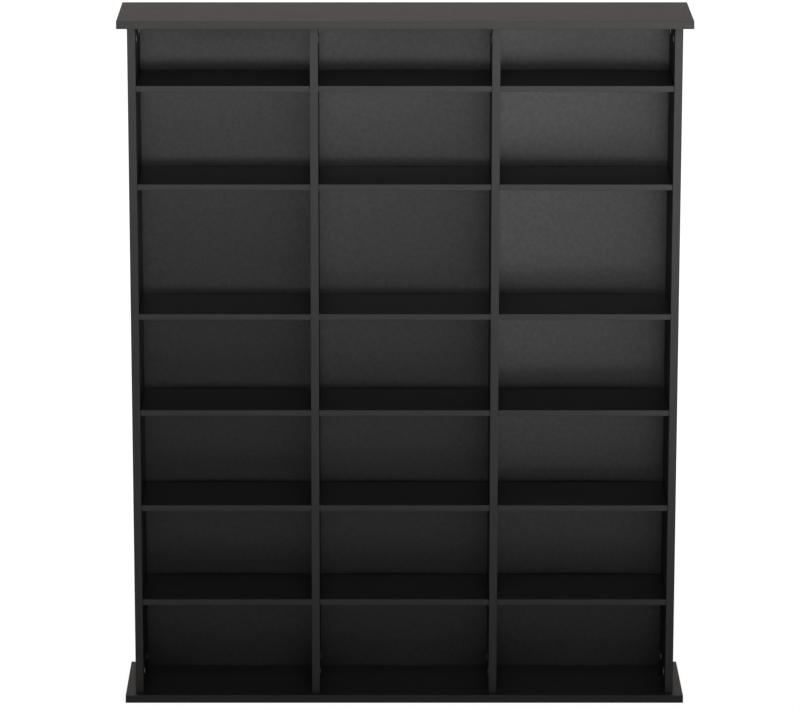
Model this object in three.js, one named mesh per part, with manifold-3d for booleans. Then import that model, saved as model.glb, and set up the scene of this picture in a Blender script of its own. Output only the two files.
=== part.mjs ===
// A wide cd and dvd storage tower. Three columns of shelves stand between two side panels
// and two dividers. A top board and a base board stand proud of the carcass, thin backs sit
// in grooves, and cam fittings pull the boards together.
// Millimetres, +Z up, the front faces -Y, and the origin is on the floor under the middle.

import * as THREE from 'three';
import { mergeVertices } from 'three/addons/utils/BufferGeometryUtils.js';
import Module from 'manifold-3d';

// Overall size
const overallWidth = 1250;
const overallDepth = 241;
const overallHeight = 1550;

// Boards
const boardThickness = 17.5;
const shelfThickness = 13;
const backThickness = 3;

// How far the top and base boards stand past the carcass at each side and in front
const sideOverhang = 22;
const frontOverhang = 22;

// Shelf bays: the depth is from the front edge of an upright to the face of the back
const bayDepth = 192;
const shelfSetback = 2;
const shelfEndPlay = 0.8;
const shelfRearPlay = 2;
const fixedShelfRearPlay = 0.3;

// Backs, and the grooves that hold them
const dividerWeb = 5.5;
const backFacePlay = 0.3;
const backEdgePlay = 0.5;

// Pin holes, in a front and a rear line on every face that looks into a column. An inset is
// from the front edge of an upright, and a margin is from the face of the back.
const pinHoleDiameter = 5;
const pinHoleDepth = 10;
const pinHoleSides = 8;
const pinRowCount = 18;
const lowestPinHeight = 128.7;
const highestPinDrop = 145.3;
const frontPinInset = 37;
const rearPinMargin = 32;
const shelfSeatPlay = 0.3;

// The rows of shelves, from the top, with how many pin rows lie below the one at the shelf
const pinRowCountBelow = { row_1: 17, row_2: 14, row_3: 10, row_4: 7, row_5: 4, row_6: 1 };
const fixedRow = 'row_3';

// Cam fittings: a disc in a pocket, and the bolt that it draws in
const fitPlay = 0.3;
const camRecess = 0.3;
const camSides = 16;
const camFrontInset = 50;
const camRearMargin = 37;
const camDiameter = 15;
const camSetback = 34;
const camPocketFloor = 4;
const shelfCamDiameter = 12;
const shelfCamSetback = 24;
const shelfCamPocketFloor = 2.5;
const crossWidth = 1.6;
const crossDepth = 1.6;
const crossLengthShare = 0.6;
const boltSides = 8;
const boltShankDiameter = 6;
const boltThreadDiameter = 7;
const boltGrip = 11;
const boltEndGap = 1.5;

// How far a cutting solid runs past the face that it cuts
const overrun = 1;

// Finishes
const laminateLook = { color: 0x2a2725, roughness: 0.5, metalness: 0 };
const backLook = { color: 0x2e2b29, roughness: 0.6, metalness: 0 };
const zincLook = { color: 0xb8babd, roughness: 0.35, metalness: 1 };

// Sizes and places that follow
const columnNames = ['left', 'centre', 'right'];
const uprightNames = ['left_side_panel', 'left_divider', 'right_divider', 'right_side_panel'];
const interiorHeight = overallHeight - 2 * boardThickness;
const carcassWidth = overallWidth - 2 * sideOverhang;
const uprightDepth = overallDepth - frontOverhang;
const cellWidth = (carcassWidth - uprightNames.length * boardThickness) / columnNames.length;
const uprightSpacing = cellWidth + boardThickness;
const uprightFront = frontOverhang - overallDepth / 2;
const grooveDepth = (boardThickness - dividerWeb) / 2;
const grooveWidth = backThickness + 2 * backFacePlay;
const pinPitch = (interiorHeight - lowestPinHeight - highestPinDrop) / (pinRowCount - 1);
const pinInsets = [frontPinInset, bayDepth - rearPinMargin];
const camInsets = { front: camFrontInset, rear: bayDepth - camRearMargin };
const shelfBoltGrip = (boardThickness - boltEndGap) / 2;

// The middle of an upright, counted from the left
function uprightX(index) {
  return (index - (uprightNames.length - 1) / 2) * uprightSpacing;
}

// The middle of a column, counted from the left
function columnX(index) {
  return (index - (columnNames.length - 1) / 2) * uprightSpacing;
}

// The height of a pin hole above the base board
function pinHeight(pinRow) {
  return lowestPinHeight + pinRow * pinPitch;
}

// The height of a shelf's top face above the base board: it lies on top of its pins
function shelfTop(row) {
  return pinHeight(pinRowCountBelow[row]) + pinHoleDiameter / 2 + shelfSeatPlay + shelfThickness;
}

const wasm = await Module();
wasm.setup();

// A closed geometry as a solid that can be cut and joined
function solidOf(geometry) {
  const bare = geometry.clone();
  bare.deleteAttribute('normal');
  bare.deleteAttribute('uv');
  const merged = mergeVertices(bare);
  return new wasm.Manifold(new wasm.Mesh({
    numProp: 3,
    vertProperties: Float32Array.from(merged.attributes.position.array),
    triVerts: Uint32Array.from(merged.index.array),
  }));
}

// A solid as a geometry again
function geometryOf(solid) {
  const { vertProperties, triVerts } = solid.getMesh();
  const geometry = new THREE.BufferGeometry();
  geometry.setAttribute('position', new THREE.BufferAttribute(vertProperties, 3));
  geometry.setIndex(new THREE.BufferAttribute(triVerts, 1));
  geometry.computeVertexNormals();
  return geometry;
}

// A geometry with a list of cutting geometries taken out of it
function cutFrom(geometry, cutters) {
  const removed = cutters.map(solidOf).reduce((all, one) => all.add(one));
  return geometryOf(solidOf(geometry).subtract(removed));
}

// A block between two corners
function block(low, high) {
  const size = high.map((value, axis) => value - low[axis]);
  const middle = high.map((value, axis) => (value + low[axis]) / 2);
  return new THREE.BoxGeometry(...size).translate(...middle);
}

// A board centred on x, with its front edge on y = 0 and its lower face on z = 0
function board(width, depth, height) {
  return block([-width / 2, 0, 0], [width / 2, depth, height]);
}

// A round cutter along X, from one x to another
function boreAlongX(diameter, sides, fromX, toX, y, z) {
  const length = Math.abs(toX - fromX);
  return new THREE.CylinderGeometry(diameter / 2, diameter / 2, length, sides)
    .rotateZ(Math.PI / 2)
    .translate((fromX + toX) / 2, y, z);
}

// A round cutter along Z, from one z to another
function boreAlongZ(diameter, sides, fromZ, toZ, x, y) {
  const length = Math.abs(toZ - fromZ);
  return new THREE.CylinderGeometry(diameter / 2, diameter / 2, length, sides)
    .rotateX(Math.PI / 2)
    .translate(x, y, (fromZ + toZ) / 2);
}

// A round cutter along X into an upright, from a face, -1 or 1, to a depth, or right through
function faceBore(face, isThrough, diameter, sides, depth, y, z) {
  const mouth = face * (boardThickness / 2 + overrun);
  const end = isThrough ? -mouth : face * (boardThickness / 2 - depth);
  return boreAlongX(diameter, sides, mouth, end, y, z);
}

// The cuts for the pins: holes at every row but the one where the fixed shelf is
function pinHoleCuts(face, isThrough) {
  const cuts = [];
  for (let pinRow = 0; pinRow < pinRowCount; pinRow += 1) {
    if (pinRow === pinRowCountBelow[fixedRow]) continue;
    for (const inset of pinInsets) {
      const height = pinHeight(pinRow);
      cuts.push(faceBore(face, isThrough, pinHoleDiameter, pinHoleSides, pinHoleDepth, inset, height));
    }
  }
  return cuts;
}

// The bores in an upright for the bolts of the fixed shelf
function fixedShelfBoltCuts(face, isThrough) {
  const diameter = boltThreadDiameter + 2 * fitPlay;
  const depth = shelfBoltGrip + fitPlay;
  const height = shelfTop(fixedRow) - shelfThickness / 2;
  return Object.values(camInsets).map(
    (inset) => faceBore(face, isThrough, diameter, boltSides, depth, inset, height),
  );
}

// The groove in one face of an upright that takes the edge of a back
function uprightGrooveCut(face) {
  const start = bayDepth - backFacePlay;
  const mouth = face * (boardThickness / 2 + overrun);
  const floor = face * (boardThickness / 2 - grooveDepth);
  return block(
    [Math.min(mouth, floor), start, -overrun],
    [Math.max(mouth, floor), start + grooveWidth, interiorHeight + overrun],
  );
}

// The pockets for the cams near both ends of an upright, and the bores that their bolts enter by
function uprightCamCuts(camFace) {
  const cuts = [];
  const pocketDepth = boardThickness - camPocketFloor;
  const pocket = camDiameter + 2 * fitPlay;
  const bore = boltShankDiameter + 2 * fitPlay;
  for (const inset of Object.values(camInsets)) {
    for (const end of [0, interiorHeight]) {
      const inward = end === 0 ? 1 : -1;
      const camZ = end + inward * camSetback;
      cuts.push(faceBore(camFace, false, pocket, camSides, pocketDepth, inset, camZ));
      cuts.push(boreAlongZ(bore, boltSides, end - inward * overrun, camZ, 0, inset));
    }
  }
  return cuts;
}

// An upright board. innerFaces are the faces, -1 or 1, that look into a column.
function uprightGeometry(innerFaces, camFace) {
  const isThrough = innerFaces.length > 1;
  const boredFaces = isThrough ? innerFaces.slice(0, 1) : innerFaces;
  return cutFrom(board(boardThickness, uprightDepth, interiorHeight), [
    ...boredFaces.flatMap((face) => pinHoleCuts(face, isThrough)),
    ...boredFaces.flatMap((face) => fixedShelfBoltCuts(face, isThrough)),
    ...innerFaces.map(uprightGrooveCut),
    ...uprightCamCuts(camFace),
  ]);
}

// The top or the base board. cutFace is 1 where the upper face meets the uprights, else -1.
function endBoardGeometry(cutFace) {
  const face = cutFace > 0 ? boardThickness : 0;
  const mouth = face + cutFace * overrun;
  const grooveFloor = face - cutFace * grooveDepth;
  const grooveReach = carcassWidth / 2 - boardThickness + grooveDepth;
  const grooveStart = frontOverhang + bayDepth - backFacePlay;
  const cuts = [block(
    [-grooveReach, grooveStart, Math.min(mouth, grooveFloor)],
    [grooveReach, grooveStart + grooveWidth, Math.max(mouth, grooveFloor)],
  )];
  const bore = boltThreadDiameter + 2 * fitPlay;
  const boreFloor = face - cutFace * (boltGrip + fitPlay);
  uprightNames.forEach((_, index) => {
    for (const inset of Object.values(camInsets)) {
      cuts.push(boreAlongZ(bore, boltSides, mouth, boreFloor, uprightX(index), frontOverhang + inset));
    }
  });
  return cutFrom(board(overallWidth, overallDepth, boardThickness), cuts);
}

// A fixed shelf, with a cam pocket in its lower face near each corner
function fixedShelfGeometry() {
  const depth = bayDepth - shelfSetback - fixedShelfRearPlay;
  const pocketDepth = shelfThickness - shelfCamPocketFloor;
  const pocket = shelfCamDiameter + 2 * fitPlay;
  const bore = boltShankDiameter + 2 * fitPlay;
  const cuts = [];
  for (const end of [-1, 1]) {
    const camX = end * (cellWidth / 2 - shelfCamSetback);
    const mouthX = end * (cellWidth / 2 + overrun);
    for (const inset of Object.values(camInsets)) {
      const y = inset - shelfSetback;
      cuts.push(boreAlongZ(pocket, camSides, -overrun, pocketDepth, camX, y));
      cuts.push(boreAlongX(bore, boltSides, camX, mouthX, y, shelfThickness / 2));
    }
  }
  return cutFrom(board(cellWidth, depth, shelfThickness), cuts);
}

// A loose shelf, which lies on four pins
function looseShelfGeometry() {
  const width = cellWidth - 2 * shelfEndPlay;
  const depth = bayDepth - shelfSetback - shelfRearPlay;
  return board(width, depth, shelfThickness);
}

// The thin back of one column, which reaches into the grooves on all four edges
function backGeometry() {
  const reach = grooveDepth - backEdgePlay;
  return board(cellWidth + 2 * reach, backThickness, interiorHeight + 2 * reach);
}

// The bolt of a cam fitting, lying along +Y from the middle of its cam
function boltGeometry(setback, grip) {
  const end = setback + grip;
  const profile = [
    [0, 0],
    [boltShankDiameter / 2, 0],
    [boltShankDiameter / 2, setback],
    [boltThreadDiameter / 2, setback],
    [boltThreadDiameter / 2, end],
    [0, end],
  ];
  return new THREE.LatheGeometry(profile.map((point) => new THREE.Vector2(...point)), boltSides);
}

// A cam fitting in a board: the mouth of its pocket is on z = 0 and faces +Z, the bolt runs
// along +Y in the middle of the board, and a cross in the cam takes a screwdriver.
function camFittingGeometry(diameter, thickness, pocketFloor, setback, grip) {
  const face = -camRecess;
  const back = pocketFloor + fitPlay - thickness;
  const disc = solidOf(boreAlongZ(diameter, camSides, back, face, 0, 0));
  const bolt = solidOf(boltGeometry(setback, grip).translate(0, 0, -thickness / 2));
  const reach = (diameter * crossLengthShare) / 2;
  const halfWidth = crossWidth / 2;
  const floor = face - crossDepth;
  const longways = solidOf(block([-halfWidth, -reach, floor], [halfWidth, reach, face + overrun]));
  const sideways = solidOf(block([-reach, -halfWidth, floor], [reach, halfWidth, face + overrun]));
  return geometryOf(disc.add(bolt).subtract(longways.add(sideways)));
}

// A named piece with a material of its own, at a place in its group
function piece(name, geometry, look, x, y, z) {
  const mesh = new THREE.Mesh(geometry, new THREE.MeshStandardMaterial(look));
  mesh.name = name;
  mesh.position.set(x, y, z);
  return mesh;
}

// Turns a cam fitting so that its mouth faces one way and its bolt points another
function turn(mesh, mouthWay, boltWay) {
  const mouth = new THREE.Vector3(...mouthWay);
  const bolt = new THREE.Vector3(...boltWay);
  const across = new THREE.Vector3().crossVectors(bolt, mouth);
  mesh.quaternion.setFromRotationMatrix(new THREE.Matrix4().makeBasis(across, bolt, mouth));
  return mesh;
}

// The uprights, each with the cam fittings that hold it to the top and the base
function makeUprights() {
  const group = new THREE.Group();
  group.position.set(0, uprightFront, boardThickness);
  uprightNames.forEach((name, index) => {
    const isFirst = index === 0;
    const isLast = index === uprightNames.length - 1;
    const innerFaces = [...(isFirst ? [] : [-1]), ...(isLast ? [] : [1])];
    const camFace = uprightX(index) < 0 ? 1 : -1;
    group.add(piece(name, uprightGeometry(innerFaces, camFace), laminateLook, uprightX(index), 0, 0));
    for (const [end, boltWay] of [['top', 1], ['base', -1]]) {
      const camZ = boltWay > 0 ? interiorHeight - camSetback : camSetback;
      for (const [line, inset] of Object.entries(camInsets)) {
        const geometry = camFittingGeometry(
          camDiameter, boardThickness, camPocketFloor, camSetback, boltGrip,
        );
        const x = uprightX(index) + camFace * boardThickness / 2;
        const fitting = piece(`${name}_cam_${end}_${line}`, geometry, zincLook, x, inset, camZ);
        group.add(turn(fitting, [camFace, 0, 0], [0, 0, boltWay]));
      }
    }
  });
  return group;
}

// The fixed shelf of a column with its four cam fittings, in the column's own group
function makeFixedShelf(columnName) {
  const group = new THREE.Group();
  group.position.set(0, shelfSetback, shelfTop(fixedRow) - shelfThickness);
  const name = `${columnName}_${fixedRow}_fixed_shelf`;
  group.add(piece(name, fixedShelfGeometry(), laminateLook, 0, 0, 0));
  for (const [end, boltWay] of [['left', -1], ['right', 1]]) {
    for (const [line, inset] of Object.entries(camInsets)) {
      const geometry = camFittingGeometry(
        shelfCamDiameter, shelfThickness, shelfCamPocketFloor, shelfCamSetback, shelfBoltGrip,
      );
      const x = boltWay * (cellWidth / 2 - shelfCamSetback);
      const fitting = piece(`${name}_cam_${end}_${line}`, geometry, zincLook, x, inset - shelfSetback, 0);
      group.add(turn(fitting, [0, 0, -1], [boltWay, 0, 0]));
    }
  }
  return group;
}

// One column: its back, its fixed shelf and its loose shelves
function makeColumn(columnName, index) {
  const column = new THREE.Group();
  column.position.set(columnX(index), uprightFront, boardThickness);
  const backFoot = backEdgePlay - grooveDepth;
  column.add(piece(`${columnName}_back`, backGeometry(), backLook, 0, bayDepth, backFoot));
  column.add(makeFixedShelf(columnName));
  for (const row of Object.keys(pinRowCountBelow)) {
    if (row === fixedRow) continue;
    const z = shelfTop(row) - shelfThickness;
    const name = `${columnName}_${row}_shelf`;
    column.add(piece(name, looseShelfGeometry(), laminateLook, 0, shelfSetback, z));
  }
  return column;
}

const tower = new THREE.Group();
const topFoot = overallHeight - boardThickness;
tower.add(piece('top_board', endBoardGeometry(-1), laminateLook, 0, -overallDepth / 2, topFoot));
tower.add(piece('base_board', endBoardGeometry(1), laminateLook, 0, -overallDepth / 2, 0));
tower.add(makeUprights());
columnNames.forEach((name, index) => tower.add(makeColumn(name, index)));

export default tower;
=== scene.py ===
"""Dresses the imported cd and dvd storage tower: boards, bands, backs, fittings and studio.

Everything is in metres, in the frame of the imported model: +Z is up, the front faces -Y, and
the origin is on the floor under the middle of the tower.
"""

from __future__ import annotations

import logging
import math
from collections.abc import Iterable, Mapping, Sequence
from dataclasses import dataclass, field
from enum import Enum
from functools import cached_property

import bpy
import numpy as np
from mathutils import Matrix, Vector

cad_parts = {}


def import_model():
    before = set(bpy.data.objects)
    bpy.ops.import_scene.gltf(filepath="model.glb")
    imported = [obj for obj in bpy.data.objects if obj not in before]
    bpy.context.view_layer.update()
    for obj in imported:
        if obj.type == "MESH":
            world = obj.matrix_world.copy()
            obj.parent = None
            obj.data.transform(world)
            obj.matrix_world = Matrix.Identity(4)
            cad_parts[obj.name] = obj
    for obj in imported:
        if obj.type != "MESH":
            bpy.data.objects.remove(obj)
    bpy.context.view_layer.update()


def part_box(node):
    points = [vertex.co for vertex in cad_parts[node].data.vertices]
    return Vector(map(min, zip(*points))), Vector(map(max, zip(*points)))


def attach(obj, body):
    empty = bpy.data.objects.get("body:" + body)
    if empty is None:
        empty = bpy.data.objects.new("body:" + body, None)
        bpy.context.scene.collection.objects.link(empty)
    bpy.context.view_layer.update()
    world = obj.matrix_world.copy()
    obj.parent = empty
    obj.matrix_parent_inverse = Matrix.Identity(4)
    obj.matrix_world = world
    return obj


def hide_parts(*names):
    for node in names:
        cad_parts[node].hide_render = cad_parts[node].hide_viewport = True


LOG = logging.getLogger("tower")
MM = 0.001
CARCASS = "carcass"
Array = np.ndarray
Colour = tuple[float, float, float]
WHITE: Colour = (1.0, 1.0, 1.0)


class Axis(Enum):
    """The three directions of the frame."""

    X = 0
    Y = 1
    Z = 2

    @property
    def others(self) -> tuple[int, int]:
        """The other two axes, in the order that makes a right-handed frame."""
        return (self.value + 1) % 3, (self.value + 2) % 3


class Column(Enum):
    """The columns, counted from the left. Each lies between two uprights."""

    LEFT = 0
    CENTRE = 1
    RIGHT = 2

    @property
    def word(self) -> str:
        """The column's name in the names of its nodes."""
        return self.name.lower()


class Row(Enum):
    """The rows of shelves, with how many pin rows lie below each."""

    ROW_1 = 17
    ROW_2 = 14
    ROW_3 = 10
    ROW_4 = 7
    ROW_5 = 4
    ROW_6 = 1

    @property
    def word(self) -> str:
        """The row's name in the names of its nodes."""
        return self.name.lower()

    @property
    def is_fixed(self) -> bool:
        """True for the row whose shelves tie the uprights together."""
        return self is Row.ROW_3


class Slot(Enum):
    """The material slots."""

    LAMINATE = "laminate"
    BACK_SHEET = "back_sheet"
    ZINC = "zinc"


@dataclass(frozen=True)
class Shape:
    """Corner points and the faces that join them."""

    points: Array
    faces: tuple[tuple[int, ...], ...]

    def joined(self, *others: Shape) -> Shape:
        """One shape that holds this one and others, which aren't merged.

        Args:
            others: the shapes to add.

        Returns:
            The combined shape.
        """
        parts = (self, *others)
        starts = np.cumsum([0, *(len(part.points) for part in parts)])
        faces = tuple(
            tuple(int(start) + corner for corner in face)
            for start, part in zip(starts, parts)
            for face in part.faces
        )
        return Shape(np.concatenate([part.points for part in parts]), faces)

    def placed(self, across: Sequence[float], along: Sequence[float], up: Sequence[float],
               place: Sequence[float]) -> Shape:
        """The shape turned so that its x, y and z point in three given directions, then moved.

        Each point becomes place + x * across + y * along + z * up.

        Args:
            across: where the shape's x goes.
            along: where its y goes.
            up: where its z goes, with the first two a right-handed frame.
            place: where its origin goes.

        Returns:
            The placed shape.
        """
        turn = np.array([across, along, up], float)
        return Shape(self.points @ turn + np.array(place, float), self.faces)


def wall_faces(rings: int, around: int) -> list[tuple[int, ...]]:
    """Quads between neighbouring rings of a grid whose rows close on themselves.

    Ring i, step j joins (i, j), (i, j + 1), (i + 1, j + 1) and (i + 1, j).

    Args:
        rings: how many rings the grid has.
        around: how many points a ring has.

    Returns:
        The quads as tuples of point numbers.
    """
    ring, step = np.meshgrid(np.arange(rings - 1), np.arange(around), indexing="ij")
    after = (step + 1) % around
    quads = np.stack([ring * around + step, ring * around + after,
                      (ring + 1) * around + after, (ring + 1) * around + step], axis=-1)
    return [tuple(quad) for quad in quads.reshape(-1, 4).tolist()]


def grid_quads(number: Array) -> Array:
    """Quads between neighbouring points of a grid.

    Point (i, j) joins (i + 1, j), (i + 1, j + 1) and (i, j + 1).

    Args:
        number: the points' numbers by column and row.

    Returns:
        The quads, one to a row of the array.
    """
    return np.stack([number[:-1, :-1], number[1:, :-1], number[1:, 1:], number[:-1, 1:]],
                    axis=-1).reshape(-1, 4)


def capped(rings: Array) -> Shape:
    """A closed shape from rings of points, with a flat face over the first and the last.

    Args:
        rings: points as an array of ring, step and coordinate, anticlockwise seen from the end.

    Returns:
        The closed shape.
    """
    count, around, _ = rings.shape
    faces = wall_faces(count, around)
    faces.append(tuple(reversed(range(around))))
    faces.append(tuple(range((count - 1) * around, count * around)))
    return Shape(rings.reshape(-1, 3), tuple(faces))


def eased_bar(low: Array, high: Array, along: Axis, radii: Sequence[float],
              end_radius: float, steps: int = 3) -> Shape:
    """A straight bar with eased arrises.

    The outline is a rectangle whose corners are arcs: a point is its corner's centre plus the
    radius times (cos t, sin t). The outline is carried along the bar. At s from 0 to 90 degrees
    near an end, every point moves inwards by the end radius times (1 - sin s), at the end
    radius times (1 - cos s) from the end.

    Args:
        low: the lowest corner of the bar's box.
        high: the highest corner.
        along: the axis that the outline is carried along.
        radii: of the four long arrises, from (high, high) anticlockwise.
        end_radius: of the arrises round the ends, less than the least of the radii.
        steps: how many pieces each arc has.

    Returns:
        The closed bar.
    """
    first, second = along.others
    sides = np.array([[1, 1], [-1, 1], [-1, -1], [1, -1]], float)
    corner = np.where(sides > 0, [high[first], high[second]], [low[first], low[second]])
    radius = np.array(radii, float)[:, None]
    centre = corner - sides * radius
    turn = np.linspace(0, math.pi / 2, steps + 1)[None, :] + np.arange(4)[:, None] * math.pi / 2
    way = np.stack([np.cos(turn), np.sin(turn)], axis=-1)
    outline = (centre[:, None, :] + radius[:, :, None] * way).reshape(-1, 2)
    way = way.reshape(-1, 2)
    sweep = np.linspace(0, math.pi / 2, steps + 1)
    inset = end_radius * (1 - np.sin(sweep))
    from_end = end_radius * (1 - np.cos(sweep))
    stations = np.concatenate([low[along.value] + from_end, (high[along.value] - from_end)[::-1]])
    insets = np.concatenate([inset, inset[::-1]])
    rings = np.empty((len(stations), len(outline), 3))
    rings[..., [first, second]] = outline[None] - insets[:, None, None] * way[None]
    rings[..., along.value] = stations[:, None]
    return capped(rings)


def turned(profile: Sequence[tuple[float, float]], sides: int) -> Shape:
    """A profile turned about +Z: each point is (radius cos a, radius sin a, height).

    Args:
        profile: pairs of a radius and a height, from the lower end to the upper.
        sides: how many steps go round.

    Returns:
        The closed shape, with flat ends.
    """
    angle = np.arange(sides) * 2 * math.pi / sides
    radius, height = np.array(profile, float).T
    rings = np.stack([radius[:, None] * np.cos(angle), radius[:, None] * np.sin(angle),
                      np.broadcast_to(height[:, None], (len(profile), sides))], axis=-1)
    return capped(rings)


def block(low: Sequence[float], high: Sequence[float]) -> Shape:
    """A square-edged cutter between two corners.

    Args:
        low: its lowest corner.
        high: its highest corner.

    Returns:
        The closed shape.
    """
    return eased_bar(np.array(low, float), np.array(high, float), Axis.Z, (0.0,) * 4, 0.0, 0)


def bore(along: Axis, start: float, end: float, diameter: float, sides: int,
         centre: Sequence[float], mouths: Sequence[float] = (), flare: float = 0.0) -> Shape:
    """A round cutter along one axis, which may widen at 45 degrees where it leaves a board.

    Args:
        along: the axis that it follows.
        start: where it begins on that axis.
        end: where it ends on that axis.
        diameter: of the bore.
        sides: how many steps go round.
        centre: the bore's places on the other two axes, in the order of Axis.others.
        mouths: the faces that it is flared at, each near one of its ends.
        flare: how much wider its radius is on such a face.

    Returns:
        The closed shape.
    """
    low, high = sorted((start, end))
    radius = diameter / 2
    profile = [(radius, low), (radius, high)]
    for mouth in mouths:
        if abs(mouth - low) < abs(mouth - high):
            profile[:1] = [(radius + flare + mouth - low, low), (radius, mouth + flare)]
        else:
            profile[-1:] = [(radius, mouth - flare), (radius + flare + high - mouth, high)]
    shape = turned(profile, sides)
    points = np.empty_like(shape.points)
    first, second = along.others
    points[:, first] = shape.points[:, 0] + centre[0]
    points[:, second] = shape.points[:, 1] + centre[1]
    points[:, along.value] = shape.points[:, 2]
    return Shape(points, shape.faces)


class Signal:
    """A number that changes over a surface. Python arithmetic on it adds Math nodes."""

    def __init__(self, desk: NodeDesk, socket: bpy.types.NodeSocket) -> None:
        """Wraps an output socket.

        Args:
            desk: the material that the socket belongs to.
            socket: the output that carries the number.
        """
        self.desk = desk
        self.socket = socket

    def _combined(self, operation: str, first: Signal | float, second: Signal | float) -> Signal:
        """A Math node on two numbers.

        Args:
            operation: the Math node's operation.
            first: its first number.
            second: its second number.

        Returns:
            The result.
        """
        made = self.desk.node("ShaderNodeMath", {"operation": operation}, {0: first, 1: second})
        return Signal(self.desk, made.outputs[0])

    def _alone(self, operation: str) -> Signal:
        """A Math node on this number.

        Args:
            operation: the Math node's operation.

        Returns:
            The result.
        """
        made = self.desk.node("ShaderNodeMath", {"operation": operation}, {0: self})
        return Signal(self.desk, made.outputs[0])

    def __add__(self, other: Signal | float) -> Signal:
        """The sum."""
        return self._combined("ADD", self, other)

    def __radd__(self, other: float) -> Signal:
        """The sum."""
        return self._combined("ADD", other, self)

    def __sub__(self, other: Signal | float) -> Signal:
        """The difference."""
        return self._combined("SUBTRACT", self, other)

    def __rsub__(self, other: float) -> Signal:
        """The difference from a number."""
        return self._combined("SUBTRACT", other, self)

    def __mul__(self, other: Signal | float) -> Signal:
        """The product."""
        return self._combined("MULTIPLY", self, other)

    def __rmul__(self, other: float) -> Signal:
        """The product."""
        return self._combined("MULTIPLY", other, self)

    def __abs__(self) -> Signal:
        """The size without its sign."""
        return self._alone("ABSOLUTE")

    def sine(self) -> Signal:
        """The sine."""
        return self._alone("SINE")

    def between(self, low: float, high: float) -> Signal:
        """A smooth mask: 0 below low, 1 above high.

        Args:
            low: where the mask starts to rise.
            high: where it is full.

        Returns:
            The mask.
        """
        made = self.desk.node("ShaderNodeMapRange", {"interpolation_type": "SMOOTHSTEP"},
                              {"Value": self, "From Min": low, "From Max": high})
        return Signal(self.desk, made.outputs["Result"])


class NodeDesk:
    """The nodes of one material, or of the world."""

    MIX_COLOURS = (6, 7)
    MIX_RESULT = 2

    def __init__(self, owner: bpy.types.Material | bpy.types.World) -> None:
        """Starts with no nodes.

        Args:
            owner: the new material or world.
        """
        self.owner = owner
        owner.use_nodes = True
        self.tree = owner.node_tree
        self.tree.nodes.clear()

    @cached_property
    def place(self) -> bpy.types.NodeSocket:
        """Object coordinates."""
        return self.node("ShaderNodeTexCoord").outputs["Object"]

    def node(self, kind: str, settings: Mapping[str, object] | None = None,
             sockets: Mapping[str | int, object] | None = None) -> bpy.types.Node:
        """Adds one node.

        Args:
            kind: the node's type.
            settings: its properties, which are set first.
            sockets: a number, a colour, an output or a Signal for each input.

        Returns:
            The node.
        """
        made = self.tree.nodes.new(kind)
        for name, value in (settings or {}).items():
            setattr(made, name, value)
        for name, value in (sockets or {}).items():
            entry = made.inputs[name]
            if isinstance(value, (Signal, bpy.types.NodeSocket)):
                self.tree.links.new(getattr(value, "socket", value), entry)
            elif isinstance(value, tuple) and len(value) < len(entry.default_value):
                entry.default_value = (*value, 1.0)
            else:
                entry.default_value = value
        return made

    def scaled(self, scale: Sequence[float]) -> bpy.types.NodeSocket:
        """Object coordinates multiplied axis by axis.

        Args:
            scale: the factor of each coordinate.

        Returns:
            The scaled coordinates.
        """
        return self.node("ShaderNodeMapping", {"vector_type": "POINT"},
                         {"Vector": self.place, "Scale": Vector(scale)}).outputs[0]

    def stretched(self, along: Axis, factor: float) -> bpy.types.NodeSocket:
        """Object coordinates scaled on one axis, so that a pattern runs long on it.

        Args:
            along: the axis.
            factor: of its coordinate.

        Returns:
            The scaled coordinates.
        """
        return self.scaled([factor if axis is along else 1.0 for axis in Axis])

    def noise(self, where: bpy.types.NodeSocket, scale: float, detail: float = 2.0,
              roughness: float = 0.5) -> Signal:
        """Soft cloudy noise from 0 to 1, about 0.5.

        Args:
            where: the coordinates that it reads.
            scale: how many blots there are in a metre.
            detail: how many finer layers are added.
            roughness: how strong each finer layer is.

        Returns:
            The noise.
        """
        made = self.node("ShaderNodeTexNoise", {"noise_dimensions": "3D"},
                         {"Vector": where, "Scale": scale, "Detail": detail,
                          "Roughness": roughness})
        return Signal(self, made.outputs[0])

    def blend(self, share: Signal, start: object, end: object) -> bpy.types.NodeSocket:
        """A colour between two others.

        Args:
            share: 0 for the first colour and 1 for the second.
            start: the first colour, or an output with one.
            end: the second colour, or an output with one.

        Returns:
            The mixed colour.
        """
        first, second = self.MIX_COLOURS
        made = self.node("ShaderNodeMix", {"data_type": "RGBA"},
                         {0: share, first: start, second: end})
        return made.outputs[self.MIX_RESULT]

    def surface(self, height: Signal, depth: float, strength: float,
                **sockets: object) -> bpy.types.Material:
        """Ends the material with a Principled shader.

        Args:
            height: relief from 0 to 1 that feeds a Bump node.
            depth: what a height of 1 stands for, in metres.
            strength: of the Bump node.
            sockets: the shader's inputs, with an underscore for each space in a name.

        Returns:
            The finished material.
        """
        bump = self.node("ShaderNodeBump", None,
                         {"Height": height, "Distance": depth, "Strength": strength})
        values = {name.replace("_", " "): value for name, value in sockets.items()}
        shader = self.node("ShaderNodeBsdfPrincipled", None,
                           {**values, "Normal": bump.outputs[0]})
        self.node("ShaderNodeOutputMaterial", None, {"Surface": shader.outputs[0]})
        return self.owner


def shaded(colour: Colour, factor: float) -> Colour:
    """A colour made darker or lighter by a factor."""
    return tuple(factor * channel for channel in colour)


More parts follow.
